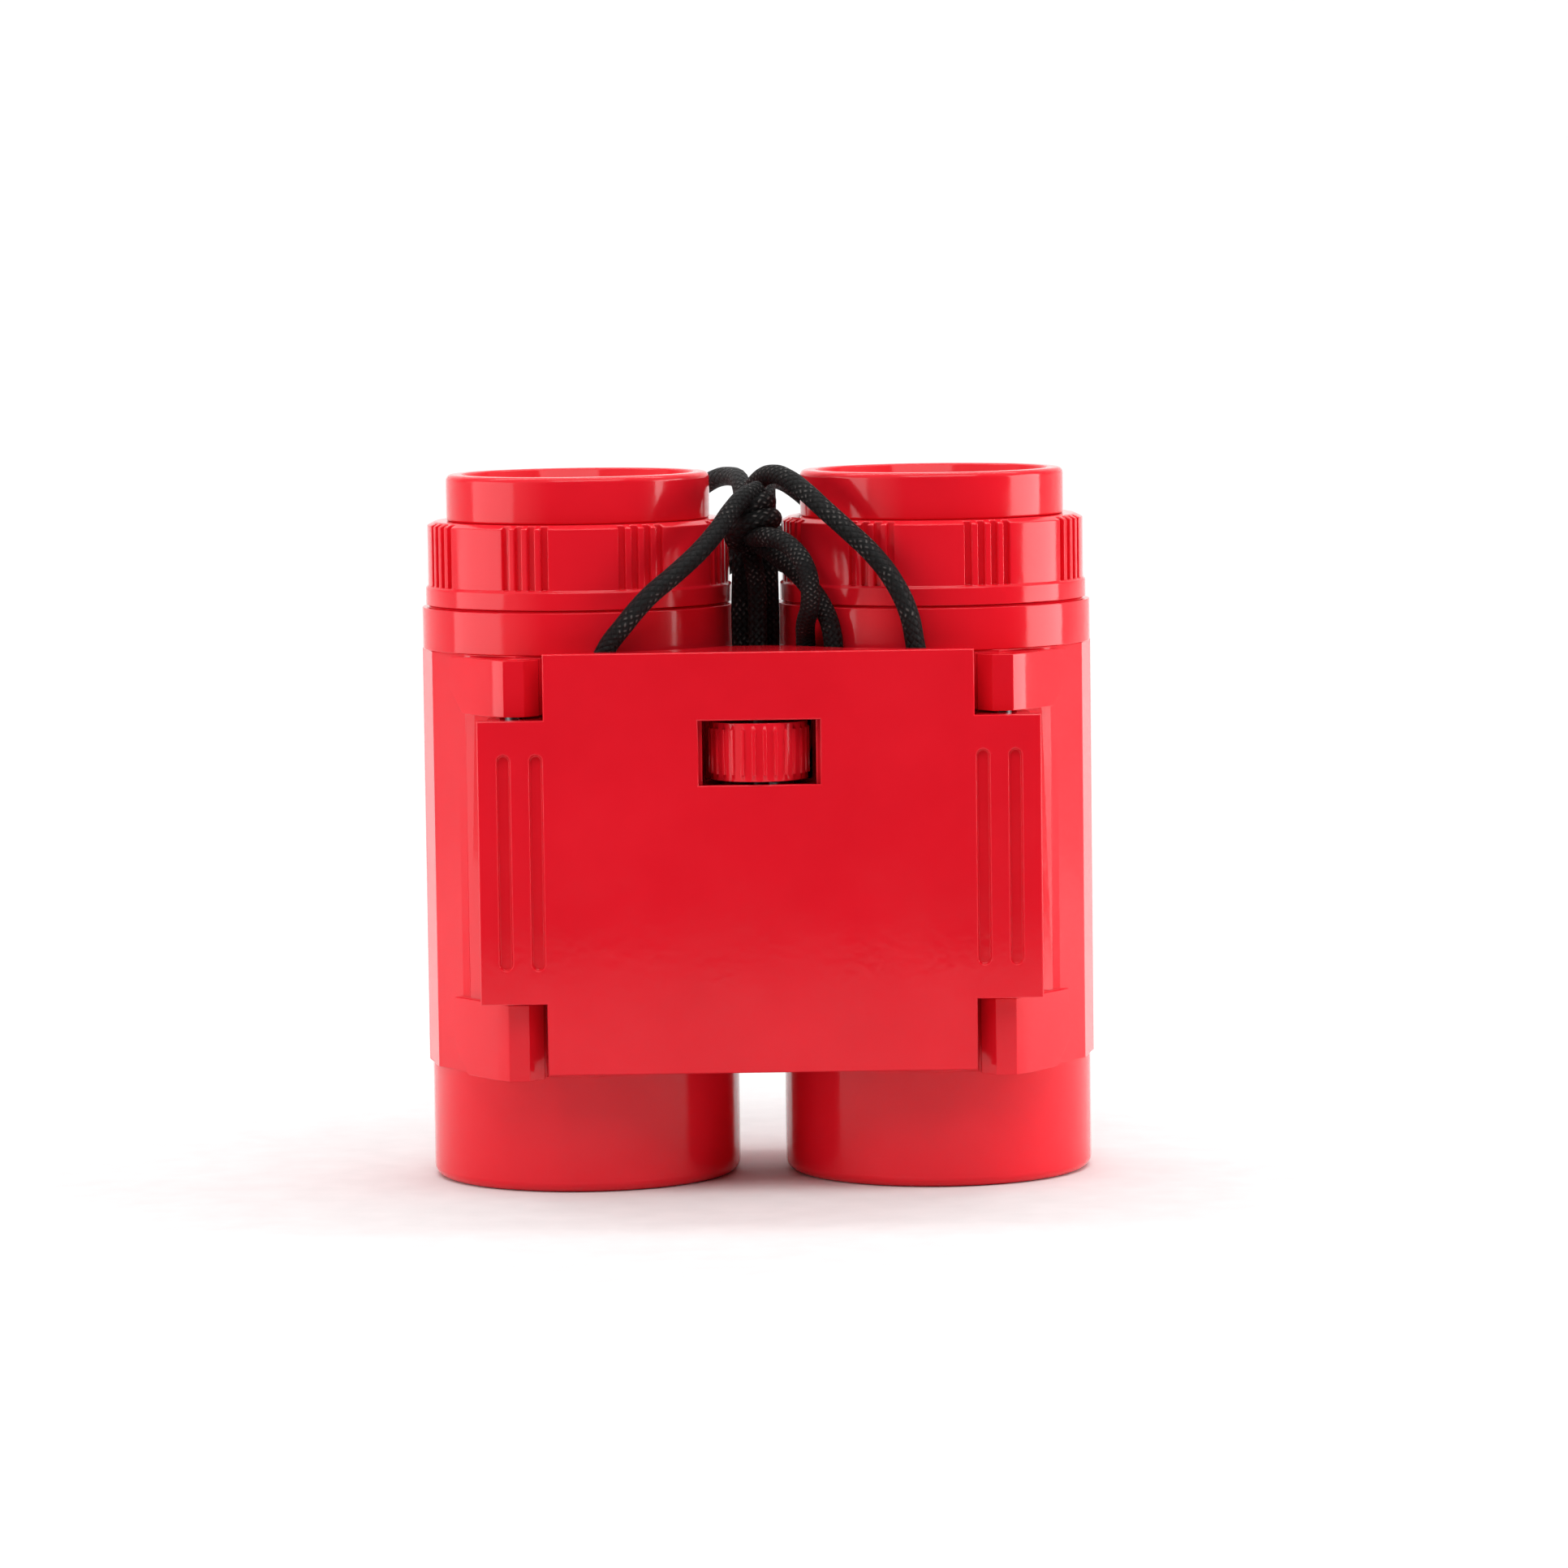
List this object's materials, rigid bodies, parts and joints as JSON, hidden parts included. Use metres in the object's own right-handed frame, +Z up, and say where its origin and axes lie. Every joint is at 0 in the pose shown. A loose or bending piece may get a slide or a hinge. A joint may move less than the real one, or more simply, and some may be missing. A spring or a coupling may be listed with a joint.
{
  "type": "toy binoculars",
  "caption": "Folding toy binoculars with swing-out barrels, turning eyepiece rings, a thumb wheel in the bridge and a neck cord.",
  "frame": {"origin": "on the table under the middle of the folded object, without its cord", "axes": "+Z up along the barrels towards the eyecups, -Y towards the bridge's front face, +X to the right of someone who looks at that face"},
  "size_m": [0.087, 0.0526, 0.0925],
  "materials": {
    "red_plastic": "glossy injection-moulded red",
    "clear_lens": "clear polished lens plastic",
    "steel": "plain bright wire and screws",
    "cord": "black braided polyester"
  },
  "bodies": {
    "bridge": {"bridge_cover": "red_plastic", "bridge_back": "red_plastic", "bridge_screws": "steel", "left_hinge_pin": "steel", "right_hinge_pin": "steel", "cord_left": "cord", "cord_right": "cord", "cord_knot": "cord", "cord_loop_a": "cord", "cord_loop_b": "cord", "cord_hank": "cord", "cord_tie": "cord", "cord_stoppers": "cord"},
    "thumb_wheel": {"focus_wheel": "red_plastic", "wheel_axle": "steel"},
    "left_barrel": {"left_barrel_housing": "red_plastic", "left_objective_tube": "red_plastic", "left_objective_lens": "clear_lens", "left_objective_ring": "red_plastic", "left_eyepiece_collar": "red_plastic"},
    "right_barrel": {"right_barrel_housing": "red_plastic", "right_objective_tube": "red_plastic", "right_objective_lens": "clear_lens", "right_objective_ring": "red_plastic", "right_eyepiece_collar": "red_plastic"},
    "left_eyepiece": {"left_lens_cell": "red_plastic", "left_eye_lens": "clear_lens"},
    "right_eyepiece": {"right_lens_cell": "red_plastic", "right_eye_lens": "clear_lens"},
    "left_ring": {"left_focus_ring": "red_plastic", "left_eyecup": "red_plastic"},
    "right_ring": {"right_focus_ring": "red_plastic", "right_eyecup": "red_plastic"}
  },
  "joints": [
    {"name": "left_barrel_swing", "type": "hinge", "parent": "bridge", "child": "left_barrel", "pos_m": [-0.031, -0.0176, 0.0415], "axis": [0, 0, 1], "range_deg": [0, 60]},
    {"name": "right_barrel_swing", "type": "hinge", "parent": "bridge", "child": "right_barrel", "pos_m": [0.031, -0.0176, 0.0415], "axis": [0, 0, -1], "range_deg": [0, 60]},
    {"name": "left_focus_slide", "type": "slide", "parent": "left_barrel", "child": "left_eyepiece", "axis": [0, 0, 1], "range_m": [0, 0.003]},
    {"name": "left_focus_turn", "type": "hinge", "parent": "left_eyepiece", "child": "left_ring", "pos_m": [-0.023, 0.003, 0.08], "axis": [0, 0, 1], "range_deg": [0, 180]},
    {"name": "right_focus_slide", "type": "slide", "parent": "right_barrel", "child": "right_eyepiece", "axis": [0, 0, 1], "range_m": [0, 0.003]},
    {"name": "right_focus_turn", "type": "hinge", "parent": "right_eyepiece", "child": "right_ring", "pos_m": [0.023, 0.003, 0.08], "axis": [0, 0, 1], "range_deg": [0, 180]},
    {"name": "thumb_wheel_turn", "type": "hinge", "parent": "bridge", "child": "thumb_wheel", "pos_m": [0, -0.017, 0.0568], "axis": [0, 0, 1], "continuous": true}
  ],
  "couplings": [
    {"joint": "left_focus_slide", "follows": "left_focus_turn", "m_per_rad": 0.000954},
    {"joint": "right_focus_slide", "follows": "right_focus_turn", "m_per_rad": 0.000954}
  ]
}
